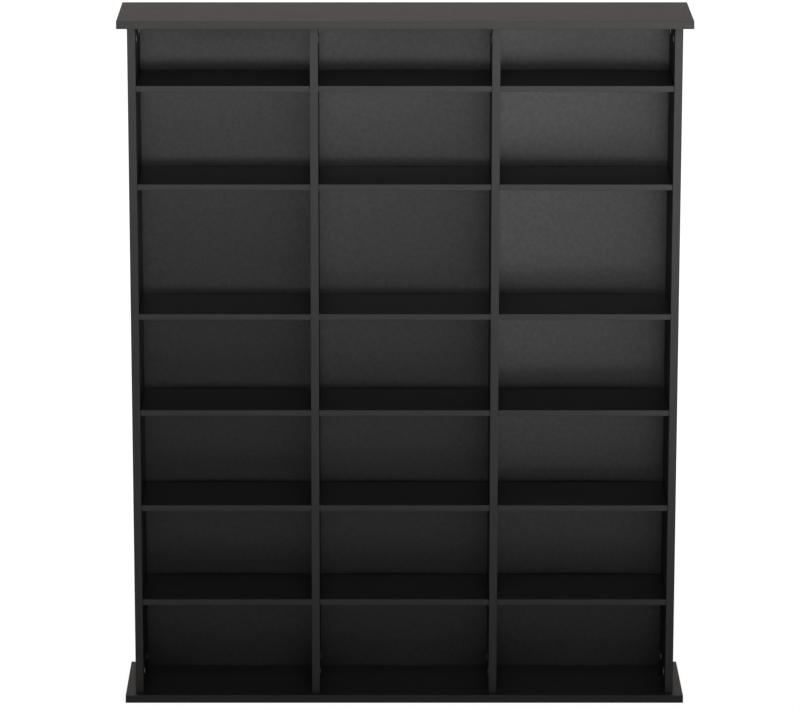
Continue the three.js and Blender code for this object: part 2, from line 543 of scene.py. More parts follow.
@dataclass(frozen=True)
class Laminate:
    """The black matt face of a coated board: fine pores that run along the board, faint
    clouds in the black, and a low, uneven sheen."""

    name: str
    along: Axis
    tone: Colour = (0.01, 0.0098, 0.0096)
    darkest: float = 0.74
    lightest: float = 1.32
    roughness: float = 0.42
    gloss: float = 0.86
    pore_width: float = 0.5 * MM
    pore_stretch: float = 18.0
    pore_depth: tuple[float, float] = (0.34, 0.5)
    cloud_scale: float = 7.0
    grit_scale: float = 1400.0
    relief: float = 0.05 * MM

    def material(self) -> bpy.types.Material:
        """Builds the finish. Streaks, clouds and grit add up to the tone, pores darken it,
        and streaks and pores vary the sheen.

        Returns:
            The material.
        """
        desk = NodeDesk(bpy.data.materials.new(self.name))
        run = desk.stretched(self.along, 1 / self.pore_stretch)
        pores = desk.noise(run, 0.45 / self.pore_width, 3.0, 0.6)
        streaks = desk.noise(run, 0.06 / self.pore_width, 2.0)
        clouds = desk.noise(desk.place, self.cloud_scale, 3.0, 0.55)
        grit = desk.noise(desk.place, self.grit_scale, 1.0)
        pit = pores.between(*self.pore_depth)
        shade = 0.62 + 0.24 * streaks + 0.3 * clouds + 0.1 * grit
        black = desk.blend((shade * (0.86 + 0.14 * pit)) - 0.35,
                           shaded(self.tone, self.darkest), shaded(self.tone, self.lightest))
        sheen = self.roughness + 0.1 * (streaks - 0.5) + 0.1 * (1.0 - pit)
        return desk.surface(height=pit * 0.75 + grit * 0.25, depth=self.relief, strength=0.5,
                            Base_Color=black, Roughness=sheen, Specular_IOR_Level=self.gloss)


@dataclass(frozen=True)
class EdgeBand:
    """The plastic band on a board's edge: a shade lighter and smoother than the faces, with
    thin drawn lines along it."""

    name: str
    along: Axis
    tone: Colour = (0.031, 0.0305, 0.03)
    darkest: float = 0.82
    lightest: float = 1.18
    roughness: float = 0.42
    gloss: float = 0.68
    line_width: float = 0.35 * MM
    line_stretch: float = 50.0
    cloud_scale: float = 9.0
    relief: float = 0.03 * MM

    def material(self) -> bpy.types.Material:
        """Builds the finish. Lines and clouds add up to the tone, and lines vary the sheen.

        Returns:
            The material.
        """
        desk = NodeDesk(bpy.data.materials.new(self.name))
        run = desk.stretched(self.along, 1 / self.line_stretch)
        lines = desk.noise(run, 0.5 / self.line_width, 2.0, 0.5)
        clouds = desk.noise(desk.place, self.cloud_scale, 3.0, 0.6)
        black = desk.blend(0.25 + 0.25 * lines + 0.5 * clouds,
                           shaded(self.tone, self.darkest), shaded(self.tone, self.lightest))
        return desk.surface(height=lines, depth=self.relief, strength=0.4, Base_Color=black,
                            Roughness=self.roughness + 0.08 * (lines - 0.5),
                            Specular_IOR_Level=self.gloss)


@dataclass(frozen=True)
class ChipCore:
    """The raw wood chips of a board where it is cut or bored."""

    name: str = "chip_core"
    dark: Colour = (0.055, 0.036, 0.022)
    light: Colour = (0.2, 0.135, 0.08)
    chip: float = 2.4 * MM
    chip_shape: tuple[float, float, float] = (0.55, 1.0, 0.8)
    gap_edge: tuple[float, float] = (0.35, 0.75)
    roughness: float = 0.9
    relief: float = 0.35 * MM

    def material(self) -> bpy.types.Material:
        """Builds the finish: cells of random tone, thin dark gaps between them, and dust.

        Returns:
            The material.
        """
        desk = NodeDesk(bpy.data.materials.new(self.name))
        drift = desk.noise(desk.place, 0.5 / self.chip, 2.0)
        cells = desk.node("ShaderNodeTexVoronoi", {"feature": "F1"},
                          {"Vector": desk.scaled(self.chip_shape), "Scale": 1 / self.chip})
        tone = desk.node("ShaderNodeSeparateColor", None, {"Color": cells.outputs["Color"]})
        random_tone = Signal(desk, tone.outputs[0])
        gap = Signal(desk, cells.outputs["Distance"]).between(*self.gap_edge)
        dust = desk.noise(desk.place, 1.6 / self.chip, 3.0, 0.65)
        colour = desk.blend(0.55 * random_tone + 0.3 * dust + 0.25 * drift - 0.35 * gap,
                            self.dark, self.light)
        return desk.surface(height=0.6 * random_tone + 0.4 * dust - 0.5 * gap,
                            depth=self.relief, strength=0.8, Base_Color=colour,
                            Roughness=self.roughness)


@dataclass(frozen=True)
class BackFoil:
    """The printed black front of a back: fine leathery mottling and a satin sheen."""

    name: str = "back_foil"
    tone: Colour = (0.009, 0.009, 0.0088)
    darkest: float = 0.68
    lightest: float = 1.36
    roughness: float = 0.33
    gloss: float = 0.95
    mottle: float = 9 * MM
    cloud_scale: float = 5.0
    relief: float = 0.06 * MM
    sheen: float = 0.4
    sheen_edge: tuple[float, float] = (0.3, 0.7)

    def material(self) -> bpy.types.Material:
        """Builds the finish. Mottling, grain and clouds add up to the tone, and mottling
        lets the satin coat come and go.

        Returns:
            The material.
        """
        desk = NodeDesk(bpy.data.materials.new(self.name))
        mottle = desk.noise(desk.place, 1 / self.mottle, 3.0, 0.62)
        grain = desk.noise(desk.place, 7.0 / self.mottle, 2.0)
        clouds = desk.noise(desk.place, self.cloud_scale, 3.0, 0.55)
        black = desk.blend(0.5 * mottle + 0.2 * grain + 0.35 * clouds,
                           shaded(self.tone, self.darkest), shaded(self.tone, self.lightest))
        return desk.surface(height=0.8 * mottle + 0.2 * grain, depth=self.relief, strength=0.8,
                            Base_Color=black, Roughness=self.roughness + 0.14 * (grain - 0.5),
                            Specular_IOR_Level=self.gloss,
                            Coat_Weight=self.sheen * mottle.between(*self.sheen_edge),
                            Coat_Roughness=self.roughness)


@dataclass(frozen=True)
class Hardboard:
    """The rear of a back: brown fibre board with the weave of the press screen in it."""

    name: str = "hardboard"
    dark: Colour = (0.065, 0.042, 0.026)
    light: Colour = (0.15, 0.098, 0.06)
    roughness: float = 0.74
    screen: float = 1.9 * MM
    fibre_scale: float = 420.0
    cloud_scale: float = 6.0
    relief: float = 0.12 * MM

    def material(self) -> bpy.types.Material:
        """Builds the finish. The screen is the product of a sine along x and one along z.

        Returns:
            The material.
        """
        desk = NodeDesk(bpy.data.materials.new(self.name))
        axes = desk.node("ShaderNodeSeparateXYZ", None, {"Vector": desk.place})
        rate = 2 * math.pi / self.screen
        across, up = ((Signal(desk, axes.outputs[name]) * rate).sine() for name in "XZ")
        weave = 0.5 + 0.5 * (across * up)
        fibres = desk.noise(desk.place, self.fibre_scale, 4.0, 0.65)
        clouds = desk.noise(desk.place, self.cloud_scale, 4.0, 0.6)
        colour = desk.blend(0.15 * weave + 0.55 * fibres + 0.5 * clouds - 0.1, self.dark,
                            self.light)
        return desk.surface(height=0.7 * weave + 0.3 * fibres, depth=self.relief, strength=0.6,
                            Base_Color=colour, Roughness=self.roughness + 0.12 * fibres)


@dataclass(frozen=True)
class BareMetal:
    """Cast or drawn metal with a cloudy sheen and fine casting grain."""

    name: str
    dark: Colour
    light: Colour
    roughness: float
    metallic: float = 1.0
    grain: float = 0.25 * MM
    cloud_scale: float = 240.0
    relief: float = 0.02 * MM

    def material(self) -> bpy.types.Material:
        """Builds the finish. Grain and clouds add up to the tone, and clouds vary the sheen.

        Returns:
            The material.
        """
        desk = NodeDesk(bpy.data.materials.new(self.name))
        grain = desk.noise(desk.place, 1 / self.grain, 2.0)
        clouds = desk.noise(desk.place, self.cloud_scale, 3.0, 0.6)
        colour = desk.blend(0.3 * grain + 0.7 * clouds, self.dark, self.light)
        return desk.surface(height=grain, depth=self.relief, strength=0.4, Base_Color=colour,
                            Metallic=self.metallic,
                            Roughness=self.roughness + 0.16 * (clouds - 0.5))


@dataclass(frozen=True)
class Finishes:
    """All finishes of the tower, made once."""

    board: dict[Axis, bpy.types.Material]
    band: dict[Axis, bpy.types.Material]
    core: bpy.types.Material
    back_front: bpy.types.Material
    back_rear: bpy.types.Material
    zinc: bpy.types.Material
    nickel: bpy.types.Material

    @classmethod
    def made(cls) -> Finishes:
        """Builds every material.

        Returns:
            The finishes.
        """
        lying = Laminate("laminate_lying", Axis.X)
        upright = Laminate("laminate_upright", Axis.Z, roughness=0.64, gloss=0.46)
        zinc = BareMetal("cast_zinc", (0.6, 0.6, 0.6), (0.82, 0.82, 0.81), 0.5, 0.5)
        nickel = BareMetal("nickel_plate", (0.5, 0.48, 0.45), (0.7, 0.68, 0.64), 0.24)
        return cls(
            board={face.along: face.material() for face in (lying, upright)},
            band={axis: EdgeBand(f"edge_band_{axis.name.lower()}", axis).material()
                  for axis in Axis},
            core=ChipCore().material(),
            back_front=BackFoil().material(),
            back_rear=Hardboard().material(),
            zinc=zinc.material(),
            nickel=nickel.material(),
        )


class Workshop:
    """Makes pieces from shapes, cuts them and hands them to the frame."""

    SHARP = math.radians(35.0)
    SKIN = 0.13 * MM
    FACING = 0.3

    def __init__(self, finishes: Finishes) -> None:
        """Keeps the finishes.

        Args:
            finishes: the materials that pieces are given.
        """
        self.finishes = finishes
        self.count = 0

    def new(self, name: str, shape: Shape) -> bpy.types.Object:
        """A mesh object with its place in its mesh.

        Args:
            name: of the object.
            shape: its points and faces.

        Returns:
            The object.
        """
        mesh = bpy.data.meshes.new(name)
        mesh.from_pydata(shape.points.tolist(), [], shape.faces)
        mesh.update()
        made = bpy.data.objects.new(name, mesh)
        bpy.context.scene.collection.objects.link(made)
        return made

    def discard(self, piece: bpy.types.Object) -> None:
        """Removes an object and its mesh.

        Args:
            piece: the object.
        """
        spent = piece.data
        bpy.data.objects.remove(piece)
        bpy.data.meshes.remove(spent)

    def carve(self, piece: bpy.types.Object, cutters: Iterable[Shape]) -> None:
        """Takes cutters out of a piece for good, one after another.

        Args:
            piece: the piece to cut.
            cutters: closed shapes, none of which crosses itself.
        """
        for cutter in cutters:
            tool = self.new("cutter", cutter)
            step = piece.modifiers.new("carve", "BOOLEAN")
            step.operation = "DIFFERENCE"
            step.solver = "EXACT"
            step.object = tool
            bpy.context.view_layer.update()
            ready = piece.evaluated_get(bpy.context.evaluated_depsgraph_get())
            mesh = bpy.data.meshes.new_from_object(ready)
            piece.modifiers.clear()
            worn, piece.data = piece.data, mesh
            mesh.name = piece.name
            bpy.data.meshes.remove(worn)
            self.discard(tool)

    def smooth(self, piece: bpy.types.Object) -> None:
        """Smooth shading that breaks at sharp edges and keeps wide faces flat.

        Args:
            piece: the piece to shade.
        """
        piece.data.shade_smooth()
        piece.data.set_sharp_from_angle(angle=self.SHARP)
        flat = piece.modifiers.new("flat_faces", "WEIGHTED_NORMAL")
        flat.keep_sharp = True
        flat.weight = 100

    def board_finish(self, piece: bpy.types.Object, low: Array, high: Array, thin: Axis,
                     face: bpy.types.Material) -> None:
        """Gives the two wide faces of a board its laminate, and all else the raw core.

        A face is laminate if its middle lies within a thin skin of a wide face's plane and
        its normal points that way, so the flared mouths of holes show the core.

        Args:
            piece: the board.
            low: the lowest corner of its box.
            high: the highest corner.
            thin: the axis of its thickness.
            face: the laminate.
        """
        mesh = piece.data
        mesh.materials.clear()
        mesh.materials.append(face)
        mesh.materials.append(self.finishes.core)
        side = thin.value
        middle, normal = (np.empty(len(mesh.polygons) * 3) for _ in range(2))
        mesh.polygons.foreach_get("center", middle)
        mesh.polygons.foreach_get("normal", normal)
        middle = middle.reshape(-1, 3)[:, side]
        facing = np.abs(normal.reshape(-1, 3)[:, side])
        near = np.minimum(np.abs(middle - low[side]), np.abs(middle - high[side]))
        is_core = ~((near < self.SKIN) & (facing > self.FACING))
        mesh.polygons.foreach_set("material_index", is_core.astype(np.int32))

    def hand_over(self, piece: bpy.types.Object, body: str, slot: Slot, *nodes: str) -> None:
        """Lets a piece ride on a body and stand for its CAD nodes.

        Args:
            piece: the finished piece.
            body: the CAD body that it moves with.
            slot: not used.
            nodes: the CAD nodes that it replaces.
        """
        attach(piece, body)
        if nodes:
            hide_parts(*nodes)
        self.count += 1
        LOG.info("%s: %d faces on %s", piece.name, len(piece.data.polygons), body)

    def add(self, name: str, shape: Shape, finish: bpy.types.Material, body: str, slot: Slot,
            *nodes: str) -> None:
        """Makes a whole piece of one finish and hands it over.

        Args:
            name: of the piece.
            shape: its points and faces.
            finish: its material.
            body: the CAD body that it moves with.
            slot: the slot of its finish.
            nodes: the CAD nodes that it replaces.
        """
        piece = self.new(name, shape)
        piece.data.materials.append(finish)
        self.smooth(piece)
        self.hand_over(piece, body, slot, *nodes)


def node_box(node: str) -> tuple[Array, Array]:
    """The corners of a CAD node at rest.

    Args:
        node: its name.

    Returns:
        The lowest and the highest corner.
    """
    low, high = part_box(node)
    return np.array(low, float), np.array(high, float)


def front_line() -> float:
    """The y of the uprights' front edges, from which the bores are measured."""
    return node_box("left_divider")[0][Axis.Y.value]


def changed(corner: Array, axis: Axis, place: float) -> Array:
    """A copy of a corner with one coordinate changed.

    Args:
        corner: the corner.
        axis: of the coordinate.
        place: its new value.

    Returns:
        The new corner.
    """
    made = corner.copy()
    made[axis.value] = place
    return made


@dataclass(frozen=True)
class Banding:
    """Edge band on a board: how thick it is and how its arrises are eased."""

    thickness: float = 0.8 * MM
    outer_radius: float = 0.7 * MM
    seam_radius: float = 0.12 * MM
    end_share: float = 0.8

    def strip(self, low: Array, high: Array, along: Axis, outward: tuple[Axis, int]) -> Shape:
        """A strip of band whose outer arrises are rounded and whose seams are nearly sharp.

        Args:
            low: the lowest corner of the strip's box.
            high: the highest corner.
            along: the axis of its length.
            outward: the axis and the way that its shown face looks.

        Returns:
            The closed strip.
        """
        axis, way = outward
        corners = ((1, 1), (-1, 1), (-1, -1), (1, -1))
        slot = along.others.index(axis.value)
        radii = [self.outer_radius if corner[slot] == way else self.seam_radius
                 for corner in corners]
        return eased_bar(low, high, along, radii, self.end_share * self.seam_radius)


@dataclass(frozen=True)
class Pinning:
    """The pin holes of the uprights: two lines, one row to a pitch, and none at the fixed
    shelf. Heights are from the floor, and insets from the front edge of an upright."""

    diameter: float = 5 * MM
    depth: float = 10 * MM
    lowest: float = 146.2 * MM
    pitch: float = 73 * MM
    rows: int = 18
    insets: tuple[float, float] = (37 * MM, 160 * MM)
    flare: float = 0.4 * MM
    sides: int = 20

    def height(self, row: int) -> float:
        """The height of a pin row above the floor."""
        return self.lowest + row * self.pitch


@dataclass(frozen=True)
class Camming:
    """The bores for cam fittings in uprights and fixed shelves."""

    insets: tuple[float, float] = (50 * MM, 155 * MM)
    diameter: float = 15 * MM
    setback: float = 34 * MM
    floor: float = 4 * MM
    shelf_diameter: float = 12 * MM
    shelf_setback: float = 24 * MM
    shelf_floor: float = 2.5 * MM
    play: float = 0.3 * MM
    bolt_bore: float = 6.6 * MM
    sides: int = 42
    bolt_sides: int = 12


@dataclass(frozen=True)
class Groove:
    """The grooves that hold the backs."""

    start: float = 93.2 * MM
    width: float = 3.6 * MM
    depth: float = 6 * MM


@dataclass(kw_only=True)
class Board:
    """What all boards share: laminate on the wide faces, a raw core wherever they are cut,
    and bands that are pieces of their own. Each kind of board has the node it stands for."""

    ALONG = Axis.X

    banding: Banding = field(default_factory=Banding)
    camming: Camming = field(default_factory=Camming)
    groove: Groove = field(default_factory=Groove)
    arris: float = 0.12 * MM
    arris_steps: int = 2
    end_share: float = 0.8
    overrun: float = 1 * MM

    @property
    def body(self) -> str:
        """The CAD body that the board moves with."""
        return CARCASS

    def make_body(self, shop: Workshop, low: Array, high: Array,
                  cutters: Iterable[Shape]) -> None:
        """Makes the board without its bands, with its grain along its length.

        Args:
            shop: what makes the piece.
            low: the lowest corner of its box.
            high: the highest corner.
            cutters: what is cut from it.
        """
        bar = eased_bar(low, high, self.ALONG, (self.arris,) * 4, self.end_share * self.arris,
                        self.arris_steps)
        piece = shop.new(f"{self.node}_body", bar)
        shop.carve(piece, cutters)
        thin = Axis.X if self.ALONG is Axis.Z else Axis.Z
        shop.board_finish(piece, low, high, thin, shop.finishes.board[self.ALONG])
        shop.smooth(piece)
        shop.hand_over(piece, self.body, Slot.LAMINATE, self.node)

    def make_band(self, shop: Workshop, word: str, along: Axis, low: Array, high: Array,
                  outward: tuple[Axis, int]) -> None:
        """Makes one band.

        Args:
            shop: what makes the piece.
            word: which edge the band is on.
            along: the axis of its length.
            low: the lowest corner of its box.
            high: the highest corner.
            outward: the axis and the way that it looks.
        """
        strip = self.banding.strip(low, high, along, outward)
        shop.add(f"{self.node}_{word}_band", strip, shop.finishes.band[along], self.body,
                 Slot.LAMINATE)

    def make_banded(self, shop: Workshop, cutters: Iterable[Shape]) -> None:
        """Makes the board and the band on its front edge.

        Args:
            shop: what makes the pieces.
            cutters: what is cut from the board.
        """
        low, high = node_box(self.node)
        seam = low[Axis.Y.value] + self.banding.thickness
        self.make_body(shop, changed(low, Axis.Y, seam), high, cutters)
        self.make_band(shop, "front", self.ALONG, low, changed(high, Axis.Y, seam),
                       (Axis.Y, -1))


@dataclass
class Upright(Board):
    """A side panel or a divider: a bored board with a band on its front edge."""

    ALONG = Axis.Z

    node: str
    inner_faces: tuple[int, ...]
    cam_face: int
    pinning: Pinning = field(default_factory=Pinning)

    def build(self, shop: Workshop) -> None:
        """Makes the board and its band."""
        self.make_banded(shop, self.cutters(*node_box(self.node)))

    def cutters(self, low: Array, high: Array) -> list[Shape]:
        """The cuts in the board, in groups that don't cross each other.

        Args:
            low: the lowest corner of the board.
            high: the highest corner.

        Returns:
            One joined cutter each for pockets, pin holes, bolt bores and grooves.
        """
        middle = (low[0] + high[0]) / 2
        reach = (high[0] - low[0]) / 2
        pins, cams = self.pinning, self.camming
        is_through = len(self.inner_faces) > 1
        drilled = self.inner_faces[0]
        mouth = middle + drilled * (reach + self.overrun)
        pin_end = middle + drilled * ((-reach - self.overrun) if is_through
                                      else reach - pins.depth)
        mouths = [middle + way * reach for way in self.inner_faces]
        holes = [bore(Axis.X, mouth, pin_end, pins.diameter, pins.sides,
                      (low[1] + inset, pins.height(row)), mouths, pins.flare)
                 for row in range(pins.rows) if row != Row.ROW_3.value for inset in pins.insets]
        cam_mouth = middle + self.cam_face * (reach + self.overrun)
        cam_end = middle - self.cam_face * (reach - cams.floor)
        pockets, bolts = [], []
        for inset in cams.insets:
            for end, inward in ((low[2], 1), (high[2], -1)):
                centre = end + inward * cams.setback
                pockets.append(bore(Axis.X, cam_mouth, cam_end, cams.diameter + 2 * cams.play,
                                    cams.sides, (low[1] + inset, centre)))
                bolts.append(bore(Axis.Z, end - inward * self.overrun, centre, cams.bolt_bore,
                                  cams.bolt_sides, (middle, low[1] + inset)))
        grooves = [block((min(start, end), self.groove.start, low[2] - self.overrun),
                         (max(start, end), self.groove.start + self.groove.width,
                          high[2] + self.overrun))
                   for start, end in ((middle + way * (reach + self.overrun),
                                       middle + way * (reach - self.groove.depth))
                                      for way in self.inner_faces)]
        return [group[0].joined(*group[1:]) for group in (pockets, holes, bolts, grooves)]


@dataclass
class EndBoard(Board):
    """The top or the base board, banded in front and at both sides. Its rear edge is raw."""

    node: str
    groove_way: int
    groove_reach: float = 591.5 * MM

    def build(self, shop: Workshop) -> None:
        """Makes the board, which has one long groove, and its three bands.

        Args:
            shop: what makes the pieces.
        """
        low, high = node_box(self.node)
        band = self.banding.thickness
        face = high[2] if self.groove_way > 0 else low[2]
        mouth = face + self.groove_way * self.overrun
        floor = face - self.groove_way * self.groove.depth
        groove = block(
            (-self.groove_reach, self.groove.start, min(mouth, floor)),
            (self.groove_reach, self.groove.start + self.groove.width, max(mouth, floor)))
        self.make_body(shop, low + np.array([band, band, 0]), high - np.array([band, 0, 0]),
                       [groove])
        seam = low[1] + band
        rear = changed(low, Axis.Y, seam)
        bands = (
            ("front", Axis.X, low, changed(high, Axis.Y, seam), (Axis.Y, -1)),
            ("left", Axis.Y, rear, changed(high, Axis.X, low[0] + band), (Axis.X, -1)),
            ("right", Axis.Y, changed(rear, Axis.X, high[0] - band), high, (Axis.X, 1)),
        )
        for word, along, start, end, outward in bands:
            self.make_band(shop, word, along, start, end, outward)


@dataclass
class Shelf(Board):
    """A shelf, loose on its pins or fixed by cam fittings, with a band on its front edge."""

    column: Column
    row: Row

    @property
    def node(self) -> str:
        """The name of the shelf's CAD node."""
        kind = "fixed_shelf" if self.row.is_fixed else "shelf"
        return f"{self.column.word}_{self.row.word}_{kind}"

    @property
    def body(self) -> str:
        """The CAD body that the shelf moves with."""
        return CARCASS if self.row.is_fixed else self.node

    def build(self, shop: Workshop) -> None:
        """Makes the shelf and its band."""
        cutters = self.cutters(*node_box(self.node)) if self.row.is_fixed else []
        self.make_banded(shop, cutters)

    def cutters(self, low: Array, high: Array) -> list[Shape]:
        """The cam pockets in the lower face and the bores for their bolts.

        Args:
            low: the lowest corner of the shelf.
            high: the highest corner.

        Returns:
            One joined cutter for the pockets and one for the bores.
        """
        cams = self.camming
        front = front_line()
        pockets, bolts = [], []
        for end, inward in ((low[0], 1), (high[0], -1)):
            centre = end + inward * cams.shelf_setback
            for inset in cams.insets:
                pockets.append(bore(Axis.Z, low[2] - self.overrun, high[2] - cams.shelf_floor,
                                    cams.shelf_diameter + 2 * cams.play, cams.sides,
                                    (centre, front + inset)))
                bolts.append(bore(Axis.X, end - inward * self.overrun, centre, cams.bolt_bore,
                                  cams.bolt_sides, (front + inset, (low[2] + high[2]) / 2)))
        return [group[0].joined(*group[1:]) for group in (pockets, bolts)]


@dataclass
class BackSheet:
    """The thin back of one column. Its edges are held in grooves and its middle has bowed
    to the rear, which opens a dark gap behind the shelves."""

    column: Column
    bow: float = 5 * MM
    mouth: float = 189.333 * MM
    steps_across: int = 40
    steps_up: int = 96
    rise_power: int = 16

    @property
    def node(self) -> str:
        """The name of the back's CAD node."""
        return f"{self.column.word}_back"

    def build(self, shop: Workshop) -> None:
        """Makes the sheet. The front skin is y = front + bow * across * up, where across is
        1 - u^2 between the grooves and up is 1 - v^16, u and v from -1 to 1. The rear skin is
        one thickness behind it.

        Args:
            shop: what makes the piece.
        """
        low, high = node_box(self.node)
        middle = (low + high) / 2
        across = np.linspace(low[0], high[0], self.steps_across + 1)
        up = np.linspace(low[2], high[2], self.steps_up + 1)
        x, z = np.meshgrid(across, up, indexing="ij")
        u = np.clip((x - middle[0]) / self.mouth, -1, 1)
        v = (z - middle[2]) / (high[2] - middle[2])
        shift = self.bow * (1 - u ** 2) * (1 - v ** self.rise_power)
        front = np.stack([x, low[1] + shift, z], axis=-1)
        rear = np.stack([x, high[1] + shift, z], axis=-1)
        shape, is_rear = self.closed(front, rear)
        sheet = shop.new(f"{self.node}_sheet", shape)
        sheet.data.materials.append(shop.finishes.back_front)
        sheet.data.materials.append(shop.finishes.back_rear)
        sheet.data.polygons.foreach_set("material_index", is_rear.astype(np.int32))
        shop.smooth(sheet)
        shop.hand_over(sheet, CARCASS, Slot.BACK_SHEET, self.node)

    def closed(self, front: Array, rear: Array) -> tuple[Shape, Array]:
        """Joins the two skins round their rims.

        Args:
            front: the front skin's points by column and row.
            rear: the rear skin's points.

        Returns:
            The closed shape, and for each face whether it takes the rear's finish.
        """
        columns, rows, _ = front.shape
        size = columns * rows
        number = np.arange(size).reshape(columns, rows)
        quads = grid_quads(number)
        rim = np.concatenate([number[:, 0], number[-1, 1:], number[-2::-1, -1],
                              number[0, -2:0:-1]])
        after = np.roll(rim, -1)
        edge = np.stack([rim, rim + size, after + size, after], axis=-1)
        faces = np.concatenate([quads, quads[:, ::-1] + size, edge])
        is_rear = np.arange(len(faces)) >= len(quads)
        points = np.concatenate([front.reshape(-1, 3), rear.reshape(-1, 3)])
        return Shape(points, tuple(tuple(face) for face in faces.tolist())), is_rear


@dataclass
class CamFitting:
    """A cast cam with a cross recess, and the bolt that it draws in. It is made with the
    board's face on z = 0, its head facing +Z and its bolt along +Y, then placed. The pointer
    is given by its tip, its foot and half its width, in shares of the cam's radius."""

    diameter: float
    thickness: float
    floor: float
    setback: float
    grip: float
    proud: float = 0.5 * MM
    play: float = 0.3 * MM
    rim: float = 0.5 * MM
    cross_width: float = 1.6 * MM
    cross_depth: float = 1.6 * MM
    cross_share: float = 0.6
    cross_taper: float = 0.7
    pointer: tuple[float, float, float] = (0.93, 0.7, 0.16)
    pointer_depth: float = 0.5 * MM
    edge: tuple[tuple[float, float], ...] = ((0, 1), (0.4, 0.1), (1, 0), (2.2, 0), (2.8, 0.4))
    shank: float = 6 * MM
    thread: float = 7 * MM
    thread_pitch: float = 2 * MM
    neck: float = 0.8 * MM
    neck_share: float = 0.6
    root_share: float = 0.78
    tip_share: float = 0.7
    seat: float = 1 * MM
    sides: int = 34
    bolt_sides: int = 14

    def shape(self, shop: Workshop) -> Shape:
        """Builds the cam and its bolt.

        The cam is a turned profile with an eased rim and a shallow dish, from which a cross
        is cut. Its edge is given in rims inwards and downwards from the top corner. The bolt
        is a turned profile of shank and ridges of thread.

        Args:
            shop: what cuts the cross.

        Returns:
            The shape, about its own origin.
        """
        radius = self.diameter / 2
        back = self.floor + self.play - self.thickness
        top = self.proud
        profile = [(radius - self.rim, back), (radius, back + self.rim)]
        profile += [(radius - inward * self.rim, top - down * self.rim)
                    for inward, down in self.edge]
        blank = shop.new("cam_blank", turned(profile, self.sides))
        reach = radius * self.cross_share
        half = self.cross_width / 2
        floor = top - self.cross_depth
        taper = [(half * self.cross_taper, floor), (half, top + self.rim)]
        shop.carve(blank, [self.slit(reach, taper, Axis.X), self.slit(reach, taper, Axis.Y),
                           self.arrow(radius, top)])
        points = np.empty(len(blank.data.vertices) * 3)
        blank.data.vertices.foreach_get("co", points)
        faces = tuple(tuple(face.vertices) for face in blank.data.polygons)
        shop.discard(blank)
        cut = Shape(points.reshape(-1, 3), faces)
        return cut.joined(self.bolt().placed((1, 0, 0), (0, 0, -1), (0, 1, 0),
                                             (0, 0, -self.thickness / 2)))

    def slit(self, reach: float, taper: Sequence[tuple[float, float]], along: Axis) -> Shape:
        """One arm of the cross, narrower at its floor.

        Args:
            reach: half the arm's length.
            taper: pairs of half width and height.
            along: the axis that the arm follows.

        Returns:
            The closed cutter.
        """
        rings = []
        for half, height in taper:
            long = reach - (taper[-1][0] - half)
            corners = np.array([[long, half], [-long, half], [-long, -half], [long, -half]])
            if along is Axis.Y:
                corners = corners[:, ::-1] * np.array([-1, 1])
            rings.append(np.column_stack([corners, np.full(4, height)]))
        return capped(np.array(rings))

    def arrow(self, radius: float, top: float) -> Shape:
        """The small arrow near the rim that shows which way the bolt comes in.

        Args:
            radius: of the cam.
            top: the height of its face.

        Returns:
            The closed cutter.
        """
        tip, foot, half = (radius * share for share in self.pointer)
        outline = np.array([[0, tip], [-half, foot], [half, foot]])
        depth = self.pointer_depth
        return capped(np.array([np.column_stack([outline, np.full(3, height)])
                                for height in (top - depth, top + depth)]))

    def bolt(self) -> Shape:
        """The bolt along +Z: a neck, a shank, and thread ridges whose radius rises and falls
        once a pitch.

        Returns:
            The closed shape.
        """
        shank, thread = self.shank / 2, self.thread / 2
        start = self.diameter / 2 - self.seat
        profile = [(self.neck_share * shank, start), (shank, start + self.neck),
                   (shank, self.setback)]
        for ridge in np.arange(self.setback, self.setback + self.grip - self.thread_pitch,
                               self.thread_pitch):
            profile += [(self.root_share * thread, ridge + 0.25 * self.thread_pitch),
                        (thread, ridge + 0.75 * self.thread_pitch)]
        profile.append((self.tip_share * thread, self.setback + self.grip))
        return turned(profile, self.bolt_sides)


